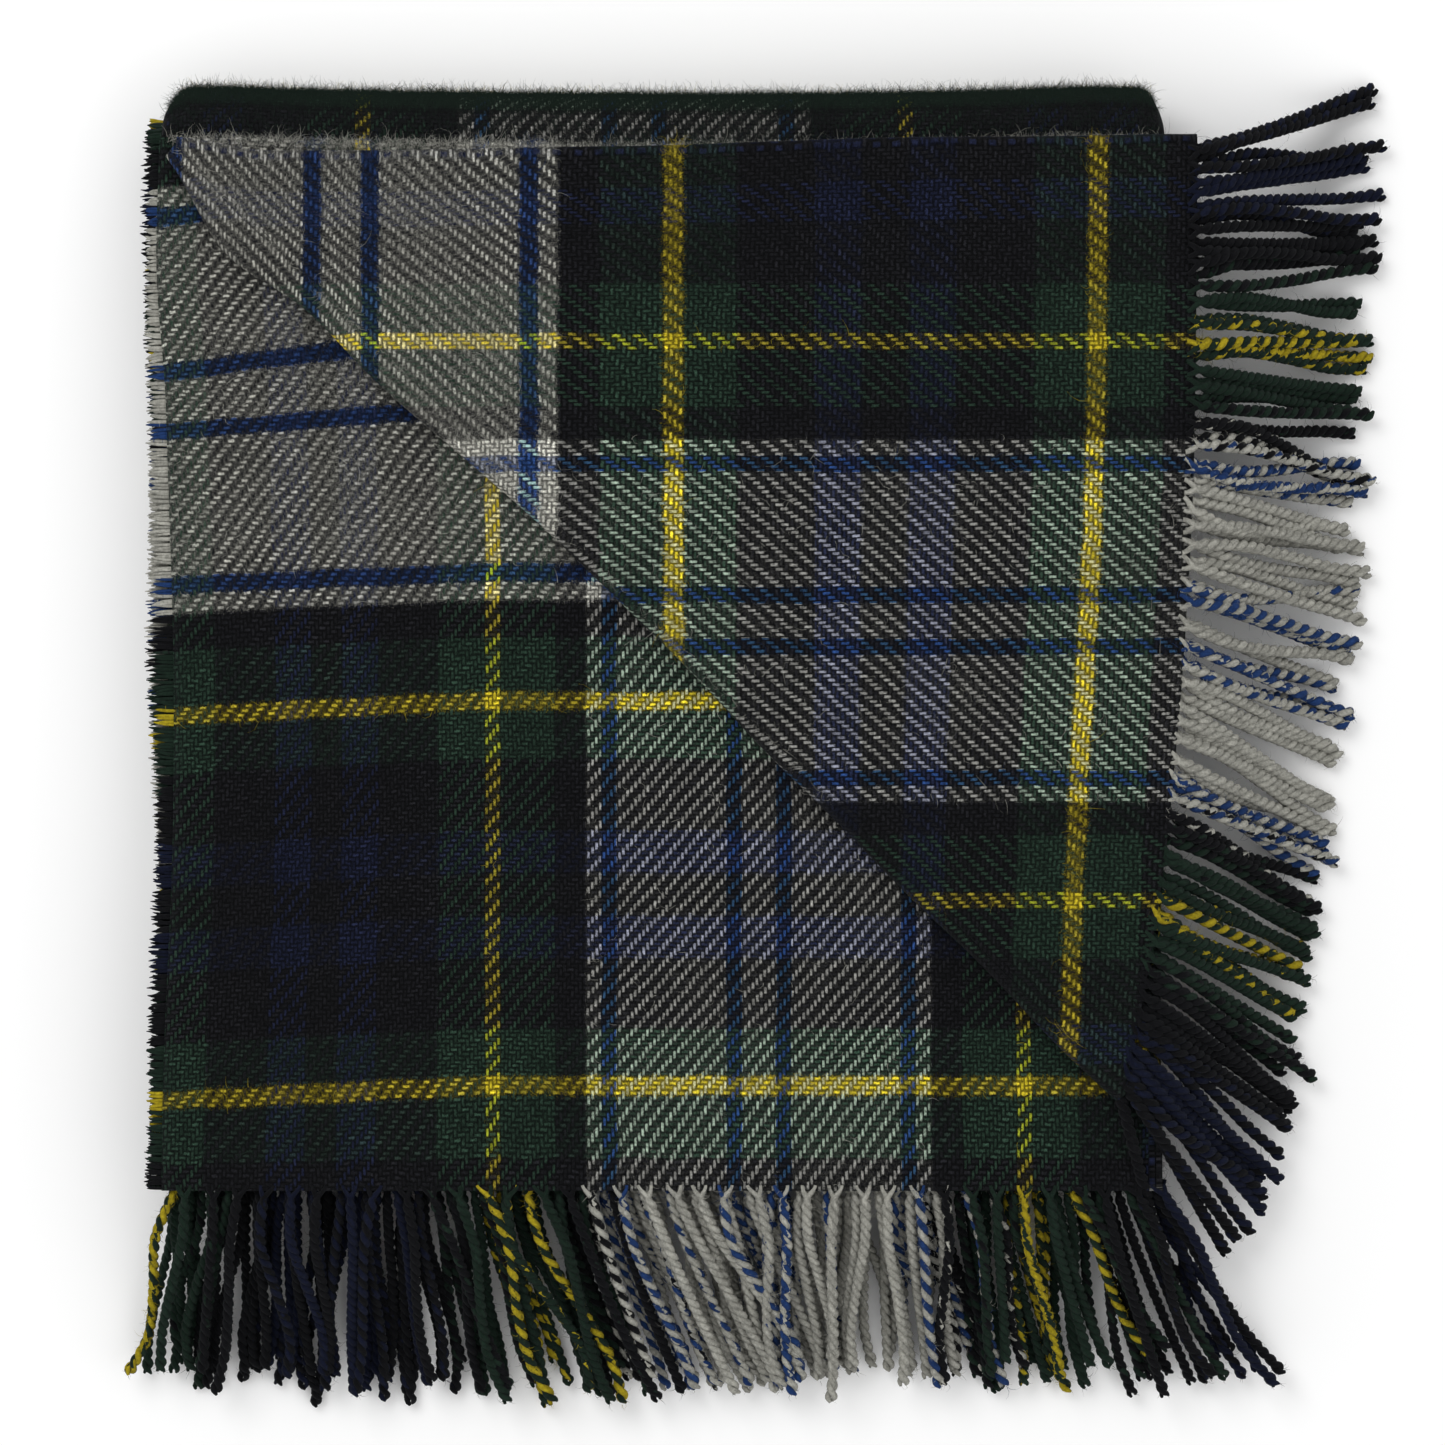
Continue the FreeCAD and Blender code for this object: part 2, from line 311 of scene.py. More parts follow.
def folded_cloth():
    """The whole stack as one sheet, folded across and then along."""
    across = profile()
    along = lengthwise()
    x, h, end, ply = [across[:, k][None, :] for k in range(4)]
    y, z, ny, nz = [along[:, k][:, None] for k in range(4)]
    points = pack(x + 0 * y, y + ny * h, z + nz * h)
    points = deform(points, ply + 0 * y)
    uv = pack(end + 0 * y, picks_at(along, x, h)).reshape(-1, 2)
    rows, columns = len(along), len(across)
    faces = grid_faces(rows, columns)
    # the top pair is cut away below the crease, where it has been turned back
    obj = mesh_object("folded_cloth", points.reshape(-1, 3), faces, uv[faces.ravel()])
    top_rows = int(np.argmax(along[:, 0] > ROLL_Y - TOP_ROW_STEP - 0.1)) + 1
    first = int(np.argmax(across[:, 1] > BUNDLE / 2 + 0.01))
    last = columns - int(np.argmax(across[::-1, 1] > BUNDLE / 2 + 0.01))
    bm = bmesh.new()
    bm.from_mesh(obj.data)
    bm.faces.ensure_lookup_table()
    upper = []
    for row in range(top_rows):
        for column in range(first, last - 1):
            upper.append(bm.faces[row * (columns - 1) + column])
    parts = set(upper)
    for face in upper:
        parts.update(face.edges)
        parts.update(face.verts)
    cut = Vector((CREASE_X + CREASE_GAP, CREASE_Y + CREASE_GAP, CREASE_Z)) * MM
    bmesh.ops.bisect_plane(bm, geom=list(parts), dist=1e-6, plane_co=cut,
                           plane_no=Vector((-1, -1, 0)), clear_outer=True)
    bm.to_mesh(obj.data)
    bm.free()
    return solidify(obj, CLOTH_THICKNESS)


# ---- the turned corner ----
HEM_LENGTH, HEM_LEAN = 335.0, 26.4


def hem_drift(y):
    """How far the corner's hem leans back towards the crease at its near end."""
    share = np.clip((CORNER_EDGE_Y - y) / HEM_LENGTH, 0, 1.1)
    return HEM_LEAN * share ** 3


def edge_droop(x):
    """How far the corner sinks where it passes the stack's right edge."""
    return 1.6 * smooth((x - RIGHT_TURN_X) / 14)


def corner_swell(x, y):
    """Soft swells of the turned corner, fading out at its crease."""
    fade = smooth((x + y - 2 * CREASE_X) / 60)
    return fade * (0.7 * waves(x / 28, y / 28, 21) + 0.4 * waves(x / 10, y / 10, 22))


CREASE_STATIONS, CREASE_STEPS = 90, 19
CREASE_BULGE_RADIUS = 3.6    # the bulges below are for a half turn of this radius


def crease_bulge(along):
    """The crease isn't quite straight: it bows out twice near its far end, and in past its middle."""
    far = 10.0 * np.exp(-((along - 0.085) / 0.055) ** 2)
    near = 4.9 * np.exp(-((along - 0.235) / 0.085) ** 2)
    return far + near - 1.4 * np.exp(-((along - 0.5) / 0.12) ** 2)


# Where the turned corner's weft stripes lie: (x, pick).
CORNER_PICKS = [(-200, -68), (-170, -41), (-125.2, -9), (-118.8, -5), (-105.8, 5), (-99.4, 9), (-50.4, 39),
                (-43.6, 43), (-37, 47), (4, 69), (61, 103), (95, 123), (152, 157), (200, 185.4)]


def corner_threads(x, y, drift=0.0):
    """End and pick at a place on the corner; drift is how far its weft leans back."""
    return -(y - CORNER_MIDDLE_Y) / CORNER_END, np.interp(x + drift, *zip(*CORNER_PICKS))


def thread_drift(x, y):
    """How far the corner's weft leans back with its hem."""
    return 11 * (1 - np.exp(-hem_drift(y) / 9)) * smooth((x - 40) / 110)


def corner_start_x(y):
    """Where the corner's flat cloth begins, beside the crease."""
    return CREASE_X + CREASE_Y + 2 * CREASE_GAP - y


CORNER_COLUMNS = 62
EDGE_FOLD_REACH, EDGE_FOLD_PICKS = 2.6, 4.0


def turned_corner():
    """Both plies of the corner: out along the upper one, round its far edge and back."""
    rows = []
    edge = CORNER_EDGE_Y
    radius = (CORNER_OUTER_Z - CORNER_INNER_Z) / 2
    middle = (CORNER_OUTER_Z + CORNER_INNER_Z) / 2
    for y in np.linspace(CORNER_CLOTH_TIP_Y, edge, 60):
        rows.append((y, y, CORNER_OUTER_Z, y))
    for k in range(1, 10):
        angle = math.pi * (0.5 - k / 10)
        rows.append((edge, edge + EDGE_FOLD_REACH * math.cos(angle), middle + radius * math.sin(angle),
                     edge + EDGE_FOLD_PICKS * k / 10))
    for y in np.linspace(edge, CORNER_CLOTH_TIP_Y, 40):
        rows.append((y, y, CORNER_INNER_Z, 2 * edge + EDGE_FOLD_PICKS - y))
    rows = np.array(rows)
    share = np.linspace(0, 1, CORNER_COLUMNS)[None, :]
    flat_y, y, z, thread_y = [rows[:, k][:, None] for k in range(4)]
    start = corner_start_x(flat_y)
    hem = CORNER_HEM_X + 0.4 - hem_drift(flat_y)
    x = start + (hem - start) * share
    end, pick = corner_threads(x, thread_y + 0 * x, thread_drift(x, flat_y))
    wave = smooth((x - 100) / 90) * 0.9 * waves(flat_y / 30, 0 * x, 24)
    lift = corner_swell(x, flat_y + 0 * x)
    droop = edge_droop(x) + 1.4 * smooth((hem_drift(flat_y) - 12) / 12) * share ** 4
    sag = 4.6 * smooth((x + 172) / 35) * (1 - smooth((x + 20) / 130))
    edge_wave = smooth((flat_y - 120) / 50) * (0.9 * waves(x / 38, 0 * x, 26) - sag)
    points = pack(x + wave * 0.6, y + edge_wave + 0 * x, z + lift - droop).reshape(-1, 3)
    faces = grid_faces(len(rows), CORNER_COLUMNS)
    uv = pack(end, pick).reshape(-1, 2)
    return solidify(mesh_object("turned_corner_cloth", points, faces, uv[faces.ravel()]), CORNER_THICKNESS)


def crease_strip(lower_z, upper_z, flat_shift):
    """One ply's half turn along the crease, from lower_z up to upper_z: its points and threads.

    flat_shift moves the ends to those of the corner's under side.
    """
    along = np.linspace(0, 1, CREASE_STATIONS)[:, None]
    first = np.array([corner_start_x(CORNER_EDGE_Y), CORNER_EDGE_Y])
    last = np.array([corner_start_x(CORNER_CLOTH_TIP_Y), CORNER_CLOTH_TIP_Y])
    angles = np.linspace(-math.pi / 2, math.pi / 2, CREASE_STEPS)[None, :]
    centre_z = (lower_z + upper_z) / 2
    radius = (upper_z - lower_z) / 2
    scale = radius / CREASE_BULGE_RADIUS
    reach = radius + np.clip(crease_bulge(along), -radius * 0.5, 12) * scale
    out = reach * np.cos(angles)
    line_x = first[0] + (last[0] - first[0]) * along
    line_y = first[1] + (last[1] - first[1]) * along
    x = line_x - SIDE * out
    y = line_y - SIDE * out
    swell = 0.5 * waves(line_x / 14, line_y / 14, 31) * np.cos(angles) * scale
    z = centre_z + radius * np.sin(angles) + swell * 0.5
    # thread coordinates carry on from the corner along the strip's own length
    step = np.hypot(np.diff(out, axis=1), np.diff(z, axis=1))[:, ::-1]
    length = np.concatenate([np.zeros((len(out), 1)), np.cumsum(step, axis=1)], axis=1)[:, ::-1]
    drift = thread_drift(line_x, line_y)
    end, pick = corner_threads(line_x - SIDE * length, line_y - SIDE * length, drift)
    if flat_shift:
        end = end - 2 * (CORNER_EDGE_Y - line_y) / CORNER_END
    points = pack(x - SIDE * swell, y - SIDE * swell, z).reshape(-1, 3)
    return points, pack(end, pick).reshape(-1, 2)


def crease():
    """Both plies' half turns along the crease, one inside the other."""
    outer_points, outer_uv = crease_strip(PLY_15_Z, CORNER_OUTER_Z, False)
    inner_points, inner_uv = crease_strip(PLY_16_Z, CORNER_INNER_Z, True)
    one = grid_faces(CREASE_STATIONS, CREASE_STEPS)
    faces = np.concatenate([one, one + len(outer_points)])
    uv = np.concatenate([outer_uv, inner_uv])
    points = np.concatenate([outer_points, inner_points])
    return solidify(mesh_object("crease_cloth", points, faces, uv[faces.ravel()]), CORNER_THICKNESS)


# ---- twisted fringe cords, frayed yarns and loose fibres ----
def smooth_paths(controls, count):
    """Many smooth curves at once: controls is (cords, points, 3), returns (cords, count, 3)."""
    cords, knots, _ = controls.shape
    padded = np.concatenate([2 * controls[:, :1] - controls[:, 1:2], controls,
                             2 * controls[:, -1:] - controls[:, -2:-1]], axis=1)
    at = np.linspace(0, knots - 1, count)
    k = np.minimum(at.astype(int), knots - 2)
    t = (at - k)[None, :, None]
    p0, p1, p2, p3 = [padded[:, k + s] for s in range(4)]
    return 0.5 * (2 * p1 + (p2 - p0) * t + (2 * p0 - 5 * p1 + 4 * p2 - p3) * t ** 2
                  + (3 * p1 - p0 - 3 * p2 + p3) * t ** 3)


def sideways(lines):
    """The two directions square to each place on some lines: level, and the one above it."""
    tangent = np.gradient(lines, axis=1)
    tangent /= np.linalg.norm(tangent, axis=2, keepdims=True)
    side = np.cross(tangent, np.array([0, 0, 1.0]))
    side /= np.linalg.norm(side, axis=2, keepdims=True)
    return side, np.cross(side, tangent)


def tubes(name, lines, radii, sides, end_of, pick_of):
    """Tubes along lines (tubes, rings, 3) with radii (tubes, rings).

    end_of and pick_of are the thread coordinates as (tubes, rings, sides + 1) arrays.
    """
    count, rings, _ = lines.shape
    side, over = sideways(lines)
    angle = (np.arange(sides) / sides * 2 * math.pi)[None, None, :, None]
    ring = (lines[:, :, None] + radii[:, :, None, None]
            * (np.cos(angle) * side[:, :, None] + np.sin(angle) * over[:, :, None]))
    points = ring.reshape(-1, 3)
    one = grid_faces(rings, sides, closed=True)
    faces = (one[None] + (np.arange(count) * rings * sides)[:, None, None]).reshape(-1, 4)
    i = one[:, 0] // sides
    j = one[:, 0] % sides
    corner_ring = pack(i, i, i + 1, i + 1)
    corner_side = pack(j, j + 1, j + 1, j)
    uv = pack(end_of[:, corner_ring, corner_side], pick_of[:, corner_ring, corner_side])
    return mesh_object(name, points, faces, uv.reshape(-1, 2))


CORD_SPACING = 9.5
ENDS_PER_CORD = 6.8
TWIST = 7.2              # length of one full turn of the two strands
TWIST_START = 4.5        # they turn from here on
STRAND_RADIUS = 1.17
STRAND_ORBIT = 0.82
JOIN_LENGTH = 7.0        # the strands draw together over this length, and loosen at the tip
JOIN_SPREAD = 2.3        # how far apart they leave the cloth
TIP_LENGTH = 1.6         # the tip's taper
YARN_WIND = 11.0         # length over which a strand's yarns wind round it once
SHORTEST_CORD, LONGEST_CORD, LONGEST_CORNER_CORD = 58, 84, 80
cord_paths = {}


def twisted_cords(name, controls, first_end, across, rings, sides, weight=1.0):
    """Two-strand cords. controls is (cords, points, 3); across is the hem's direction per cord."""
    cords = len(controls)
    path = smooth_paths(controls, rings)
    step = np.linalg.norm(np.diff(path, axis=1), axis=2)
    length = np.concatenate([np.zeros((cords, 1)), np.cumsum(step, axis=1)], axis=1)
    side, over = sideways(path)
    to_tip = length[:, -1:] - length
    start = smooth(1 - length / JOIN_LENGTH)
    tail = smooth(1 - to_tip / JOIN_LENGTH)
    pitch = TWIST * rng.uniform(0.88, 1.14, (cords, 1))
    turning = 2 * math.pi * np.maximum(length - TWIST_START, 0) / pitch
    taper = weight * STRAND_RADIUS * (1 - 0.4 * start) * (1 - 0.55 * smooth(1 - to_tip / TIP_LENGTH))
    around = np.linspace(0, 1, sides + 1)[None, None, :]
    half = ENDS_PER_CORD / 2
    cord_paths[name] = (path, first_end)
    lines, radii, ends = [], [], []
    for strand in (0, 1):
        angle = turning + math.pi * strand
        orbit = weight * STRAND_ORBIT * (1 + 0.5 * tail)
        swing = (orbit * np.cos(angle))[..., None] * side + (orbit * np.sin(angle))[..., None] * over
        sign = 1 - 2 * strand
        spread = (start * JOIN_SPREAD * sign)[..., None] * across[:, None, :]
        lines.append(path + swing * (1 - start)[..., None] + spread)
        rough = 1 + 0.07 * waves(length / 1.7, np.arange(cords)[:, None] * 3.3, 40 + strand)
        radii.append(taper * rough)
        ends.append(first_end[:, None, None] + half * strand
                    + half * np.mod(around * 0.999 + length[:, :, None] / YARN_WIND, 1.0))
    picks = np.concatenate([length, length])[:, :, None] * np.ones((1, 1, sides + 1))
    return tubes(name, np.concatenate(lines), np.concatenate(radii), sides, np.concatenate(ends), picks)


# Sideways drift of the near fringe's tips along the hem: (x, drift).
NEAR_DRIFT = [(-176, -13), (-150, -6), (-128, 0), (-100, 2), (-62, 22), (-20, 30), (8, 31), (40, 14), (64, 1),
              (84, 14), (108, 11), (135, 16), (152, 30), (168, 40)]
# How far each row's cords are shifted along the hem, so that they fill each other's gaps.
NEAR_SHIFT = [-4.4, 1.5, 4.4, -1.5, 0.0, 2.9]


def near_fringe(row, hem_z, detail):
    """One fringe row of the near edge; row counts from the lowest."""
    x = np.arange(LEFT_TURN_X + 3, RIGHT_TURN_X + 2, CORD_SPACING)
    x = x + NEAR_SHIFT[row] + rng.uniform(-1.0, 1.0, len(x))
    count = len(x)
    drift = np.interp(x, *zip(*NEAR_DRIFT)) * (0.75 + 0.05 * row) + rng.normal(0, 5.0, count)
    reach = 71 + 5.5 * waves(x / 60, 0 * x + row, 51) + rng.normal(0, 3.2, count)
    reach = np.clip(reach, SHORTEST_CORD, LONGEST_CORD)
    tip_z = 2.2 + (1.3 * row if row < 4 else 4.5 * row - 11) + rng.uniform(0, 1.5, count)
    sway = rng.normal(0, 2.1, (count, 2))
    # the topmost row shows its yarns where they leave the cloth
    inside, above = (2.0, 0.8) if row == 5 else (3.0, 0.0)
    base = deform(pack(x, np.full(count, HEM_Y + inside), np.full(count, hem_z + above)), 3.0)
    steepness = 0.75 if row < 4 else 1.35
    controls = []
    for share, bend in ((0, 0), (0.1, 0), (0.3, 0.3), (0.55, 0.75), (0.8, 1.0), (1.0, 0.9)):
        px = x + drift * share ** 1.15 + sway[:, 0] * bend + sway[:, 1] * math.sin(share * 6)
        py = HEM_Y + inside - reach * share
        level = 0 if share < 0.05 else smooth(share * 1.02) ** steepness
        pz = base[:, 2] + (tip_z - base[:, 2]) * level
        controls.append(pack(px, py, pz))
    controls = np.stack(controls, axis=1)
    across = np.tile(np.array([1.0, 0, 0]), (count, 1))
    ends = (under_end(x) if row == 4 else lower_end(np.maximum(x, -168))) - ENDS_PER_CORD / 2
    return twisted_cords("near_fringe_cords_%d" % (row + 1), controls, ends, across, *detail)


# How the corner's fringe fans along its hem: (y, direction in degrees).
CORNER_FAN = [(-156, -74), (-150, -54), (-142, -42), (-125, -34), (-85, -25), (-20, -24), (40, -10), (90, 0),
              (140, 6), (160, 11), (176, 22)]
# ... and how closely its cords stand: (y, spacing).
CORNER_SPACING = [(-156, 3.6), (-130, 4.4), (-70, 6.0), (0, 6.9), (120, 6.9), (176, 4.6)]


def corner_fringe(row, hem_z):
    """One fringe row of the turned corner; row counts from the lower."""
    stations = [CORNER_TIP_Y + 1.0 + row * 2.5]
    while stations[-1] < CORNER_EDGE_Y - 6:
        stations.append(stations[-1] + np.interp(stations[-1], *zip(*CORNER_SPACING)))
    count = len(stations)
    y = np.minimum(np.array(stations) + rng.uniform(-0.9, 0.9, count), CORNER_EDGE_Y - 1.5)
    angle = np.radians(np.interp(y, *zip(*CORNER_FAN)) + rng.normal(0, 4.5, count))
    reach = 70 + 4 * waves(y / 50, 0 * y + row, 61) + rng.normal(0, 3.0, count)
    reach = np.clip(reach, SHORTEST_CORD, LONGEST_CORNER_CORD) + 5 * smooth((-100 - y) / 30)
    hem_x = CORNER_HEM_X - hem_drift(y) - 2.5
    tip_z = 2.4 + 2.6 * row + rng.uniform(0, 1.5, count) + 11 * smooth((-110 - y) / 50)
    sway = rng.normal(0, 1.9, count)
    controls = []
    for share in (0, 0.1, 0.3, 0.55, 0.8, 1.0):
        px = hem_x + reach * share * np.cos(angle)
        py = y + reach * share * np.sin(angle) + sway * math.sin(share * 5)
        # the cords stay up until they pass the stack's edge, then fall away
        past = smooth((share * reach - np.maximum(RIGHT_X + 3 - hem_x, 6) * 0.8) / (reach * 0.95))
        pz = hem_z - 0.5 + (tip_z - hem_z) * past ** 0.85
        controls.append(pack(px, py, pz))
    controls = np.stack(controls, axis=1)
    across = np.tile(np.array([0, 1.0, 0]), (count, 1))
    ends = corner_threads(0 * y, y)[0] - ENDS_PER_CORD / 2
    return twisted_cords("corner_fringe_cords_%d" % (row + 1), controls, ends, across, 120, 6, 1.16)


def frayed_selvedges():
    """Raw weft ends along the left edge of the two selvedge plies of each bundle."""
    along = lengthwise()
    lines, picks = [], []
    for height, end_ply in ((0.5 * PITCH, 0), (1.5 * PITCH, 3)):
        y = along[:, 0] + along[:, 2] * height
        z = along[:, 1] + along[:, 3] * height
        pick = picks_at(along, LEFT_X, height)[:, 0]
        span = np.concatenate([[0], np.cumsum(np.hypot(np.diff(y), np.diff(z)))])
        at = np.arange(1.0, span[-1], PICK / 1.35)
        at = at + rng.uniform(-0.4, 0.4, len(at))
        y, z, pick = [np.interp(at, span, value) for value in (y, z, pick)]
        count = len(at)
        reach = rng.uniform(5.0, 7.2, count) * (1 + 0.22 * waves(at / 25, 0 * at, 71))
        lean = rng.normal(0, 0.8, count)
        fall = rng.uniform(0.0, 1.6, count)
        root = deform(pack(np.full(count, LEFT_X + 1.5), y, z), float(end_ply))
        steps = []
        for share in (0, 0.4, 0.75, 1.0):
            point = root.copy()
            point[:, 0] -= 1.5 * min(share * 3, 1) + reach * share
            point[:, 1] += lean * share ** 1.5
            point[:, 2] = np.maximum(point[:, 2] - fall * share ** 2, 0.8)
            steps.append(point)
        lines.append(np.stack(steps, axis=1))
        picks.append(pick)
    lines = np.concatenate(lines)
    picks = np.concatenate(picks)
    count = len(lines)
    radii = np.tile(np.array([0.70, 0.68, 0.56, 0.18]), (count, 1)) * rng.uniform(0.75, 1.15, (count, 1))
    pick_of = np.tile(picks[:, None, None], (1, 4, 6))
    end_of = np.zeros((count, 4, 6)) + np.arange(4)[None, :, None] * 2.0
    return tubes("selvedge_fray", lines, radii, 5, end_of, pick_of)


def fibres(name, roots, threads, headings, lengths, lift, width):
    """Loose wool fibres as thin curved ribbons, each standing lift times its length high."""
    count = len(roots)
    curl = rng.normal(0, 1.1, count)
    widths = width * rng.uniform(0.7, 1.3, count)
    steps = []
    for share in (0, 0.4, 0.75, 1.0):
        turn = headings + curl * share
        point = roots.copy()
        point[:, 0] += np.cos(turn) * lengths * share
        point[:, 1] += np.sin(turn) * lengths * share
        point[:, 2] = np.maximum(point[:, 2] + lift * lengths * 1.8 * share * (1 - 0.6 * share), 0.4)
        normal = pack(-np.sin(turn), np.cos(turn), 0 * turn) * widths[:, None]
        normal *= (1 - 0.8 * share) / 2
        steps.append(np.stack([point - normal, point + normal], axis=1))
    points = np.stack(steps, axis=1).reshape(-1, 3)
    one = grid_faces(4, 2)
    faces = (one[None] + (np.arange(count) * (one.max() + 1))[:, None, None]).reshape(-1, 4)
    uv = np.repeat(threads[:, None, :], one.size, axis=1)
    return mesh_object(name, points, faces, uv.reshape(-1, 2))


def gather(groups):
    """Join several lots of roots, threads, headings and lengths."""
    return [np.concatenate(parts) for parts in zip(*groups)]


def nap_lengths(count, mean):
    return np.clip(rng.gamma(2.4, mean / 2.4, count), 0.5, 3.2 * mean)


# The far roll's nap is nearly all dark weft, so its fibres share one green end.
GREEN_END = 60.0
ROLL_TOP_PICK = 46.4    # the pick that its fibres start from, at the top of the roll


def stack_fuzz():
    """Nap on the lower ply that shows, the far roll and the folded sides."""
    count = 9000
    x = rng.uniform(LEFT_X, RIGHT_X - 8, count)
    y = rng.uniform(HEM_Y, ROLL_Y, count)
    keep = x + y < CREASE_X + CREASE_Y - 4
    x, y = x[keep], y[keep]
    top = LOWER_HIGH[2] - 0.2
    lower = (deform(pack(x, y, np.full(len(x), top)), 3.0),
             pack(lower_end(x), lower_pick(x, y)),
             rng.uniform(0, 2 * math.pi, len(x)), nap_lengths(len(x), 2.6))
    count = 100000
    turn = np.concatenate([rng.uniform(0.6, 2.3, count // 2), rng.uniform(-0.1, 2.9, count // 2)])
    x = rng.uniform(LEFT_X + 2, RIGHT_X - 3, count)
    outer = 2 * BUNDLE - 0.1
    y = ROLL_Y + outer * np.sin(turn)
    z = 2 * BUNDLE + outer * np.cos(turn)
    roll = (deform(pack(x, y, z), 1.0),
            pack(np.full(count, GREEN_END), ROLL_TOP_PICK + turn * outer / PICK),
            rng.uniform(0.4, 2.7, count), nap_lengths(count, 1.9))
    count = 5000
    turn = rng.uniform(0.1, 3.0, count)
    y = rng.uniform(HEM_Y + 2, ROLL_Y, count)
    layer = rng.integers(0, 4, count)
    radius = 1.5 * PITCH + 0.9
    x = RIGHT_TURN_X + radius * np.sin(turn)
    z = (layer + 0.5) * BUNDLE - radius * np.cos(turn)
    side = (deform(pack(x, y, z), 0.0),
            pack(top_end(x) + 4 * turn, lower_pick(x, y) + layer * 20),
            rng.uniform(-1.2, 1.2, count), nap_lengths(count, 2.0))
    roots, threads, headings, lengths = gather([lower, roll, side])
    return fibres("stack_fuzz", roots, threads, headings, lengths, rng.uniform(0.1, 0.45, len(roots)), 0.16)


def corner_fuzz():
    """Nap on the turned corner, thickest along its folded edge and its crease."""
    count = 16000
    y = rng.uniform(CORNER_TIP_Y, CORNER_EDGE_Y, count)
    x = rng.uniform(CREASE_X - CORNER_EDGE_Y, CORNER_HEM_X, count)
    keep = (x > corner_start_x(y)) & (x < CORNER_HEM_X - hem_drift(y) - 1)
    x, y = x[keep], y[keep]
    top = CORNER_OUTER_HIGH[2] - 0.15

    def lot(x, y, sink, headings, mean):
        """Fibres rooted at x, y, sink below the corner's face."""
        z = top + corner_swell(x, y) - edge_droop(x) - sink
        threads = pack(*corner_threads(x, y, thread_drift(x, y)))
        return pack(x, y, z), threads, headings, nap_lengths(len(x), mean)

    face = lot(x, y, 0, rng.uniform(0, 2 * math.pi, len(x)), 2.6)
    count = 2400
    x = rng.uniform(CREASE_X - CORNER_EDGE_Y + 4, CORNER_HEM_X, count)
    y = CORNER_EDGE_Y - rng.uniform(-1.8, 2.5, count)
    edge = lot(x, y, 0.8, rng.uniform(0.3, 2.8, count), 2.6)
    y = rng.uniform(CORNER_TIP_Y, CORNER_EDGE_Y, count)
    x = corner_start_x(y) + rng.uniform(-0.8, 2.0, count)
    crease_line = lot(x, y, 0.3, rng.uniform(2.6, 5.2, count), 3.0)
    roots, threads, headings, lengths = gather([face, edge, crease_line])
    return fibres("corner_fuzz", roots, threads, headings, lengths, rng.uniform(0.1, 0.45, len(roots)), 0.13)


def cord_fuzz(name, cord_names, per_cord):
    """Short fibres standing out all along some rows of fringe cords."""
    groups = []
    for cord_name in cord_names:
        path, first_end = cord_paths[cord_name]
        cords, rings, _ = path.shape
        cord = np.repeat(np.arange(cords), per_cord)
        ring = (rng.uniform(0.03, 1.0, len(cord)) * (rings - 1)).astype(int)
        ahead = path[cord, np.minimum(ring + 1, rings - 1)] - path[cord, np.maximum(ring - 1, 0)]
        heading = np.arctan2(ahead[:, 1], ahead[:, 0])
        heading += rng.choice([-1.0, 1.0], len(cord)) * rng.uniform(0.3, 1.3, len(cord))
        out = pack(np.cos(heading), np.sin(heading), rng.uniform(0, 0.9, len(cord)))
        threads = pack(first_end[cord] + rng.uniform(0, ENDS_PER_CORD, len(cord)), 2.0 + 0 * heading)
        groups.append((path[cord, ring] + out * 1.4, threads, heading, nap_lengths(len(cord), 1.5)))
    roots, threads, headings, lengths = gather(groups)
    return fibres(name, roots, threads, headings, lengths, rng.uniform(-0.1, 0.3, len(roots)), 0.14)


